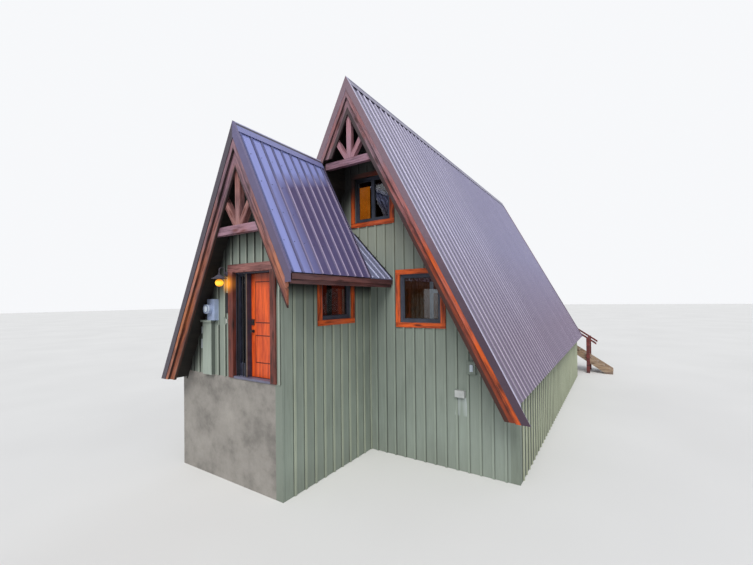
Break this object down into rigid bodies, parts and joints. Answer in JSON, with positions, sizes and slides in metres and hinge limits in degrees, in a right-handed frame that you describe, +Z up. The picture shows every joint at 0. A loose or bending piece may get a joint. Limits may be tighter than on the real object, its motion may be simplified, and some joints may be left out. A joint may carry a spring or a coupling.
{
  "type": "a-frame cabin",
  "caption": "Steep A-frame cabin with a ribbed metal roof down to low side walls, a smaller A-frame entry wing with a hinged door, gable trusses and a back deck with a stair.",
  "frame": {"origin": "middle of the foot of the main front gable wall, on the level of the lowest ground", "axes": "+X to the right seen from the front, +Y back along the ridge, +Z up"},
  "size_m": [8.8809, 16.225, 8.6341],
  "materials": {
    "floor_boards": "sealed floor boards",
    "siding": "board and batten siding painted sage green",
    "roof_boarding": "rough sawn boarding",
    "roof_metal": "ribbed sheet, dark brown coat, half gloss",
    "trim_metal": "folded trim, dark brown coat",
    "gable_wood": "orange stain worn to purple brown near the ridge",
    "truss_wood": "weathered stained timber",
    "window_frame": "charcoal coat",
    "window_trim": "orange brown stain",
    "glass": "clear",
    "base_wall": "plain concrete",
    "fascia_wood": "dark stain",
    "door_trim": "weathered brown stain",
    "door_wood": "bright orange stain",
    "black_metal": "satin black",
    "lamp_glass": "amber globe, lit",
    "grey_metal": "light grey enamel",
    "plate": "dark plate, bare",
    "outlet_plastic": "grey plastic",
    "deck_wood": "bare deck timber",
    "rail_wood": "dark red stain"
  },
  "bodies": {
    "cabin": {"main_floor": "floor_boards", "main_front_wall": "siding", "main_back_wall": "siding", "right_side_wall": "siding", "left_side_wall": "siding", "main_roof_right": "roof_boarding", "main_roof_left": "roof_boarding", "roof_sheet_right": "roof_metal", "roof_sheet_left": "roof_metal", "main_ridge_cap": "roof_metal", "front_metal_trim": "trim_metal", "back_metal_trim": "trim_metal", "front_gable_boards": "gable_wood", "back_gable_boards": "gable_wood", "front_collar_tie": "truss_wood", "front_truss": "truss_wood", "back_truss": "truss_wood", "front_window_frames": "window_frame", "front_window_trims": "window_trim", "side_window_frame": "window_frame", "side_window_trim": "window_trim", "back_window_frames": "window_frame", "back_window_trims": "window_trim", "window_glass": "glass", "wing_floor": "floor_boards", "wing_base_wall": "base_wall", "wing_left_wall": "siding", "wing_right_wall": "siding", "wing_gable_wall": "siding", "wing_side_wall": "siding", "wing_foot_wall": "base_wall", "wing_back_gable": "siding", "wing_roof_right": "roof_boarding", "wing_roof_left": "roof_boarding", "wing_sheet_right": "roof_metal", "wing_sheet_left": "roof_metal", "wing_ridge_cap": "roof_metal", "wing_metal_trim": "trim_metal", "wing_gable_boards": "gable_wood", "wing_collar_tie": "truss_wood", "wing_truss": "truss_wood", "saddle_roof": "roof_metal", "wing_eave_boards": "fascia_wood", "door_frame": "window_frame", "door_trim": "door_trim", "door_hinges": "black_metal", "lamp": "black_metal", "lamp_globe": "lamp_glass", "meter_box": "grey_metal", "meter_chase": "siding", "number_plate": "plate", "outlet_box": "outlet_plastic", "vent_hood": "grey_metal", "back_deck": "deck_wood", "back_stair": "deck_wood", "back_railing": "rail_wood"},
    "door": {"door_leaf": "door_wood", "door_handles": "black_metal"}
  },
  "joints": [
    {"name": "door_hinge", "type": "hinge", "parent": "cabin", "child": "door", "pos_m": [-0.27204, -2.551, 2.1], "axis": [0, 0, -1], "range_deg": [0, 95]}
  ]
}
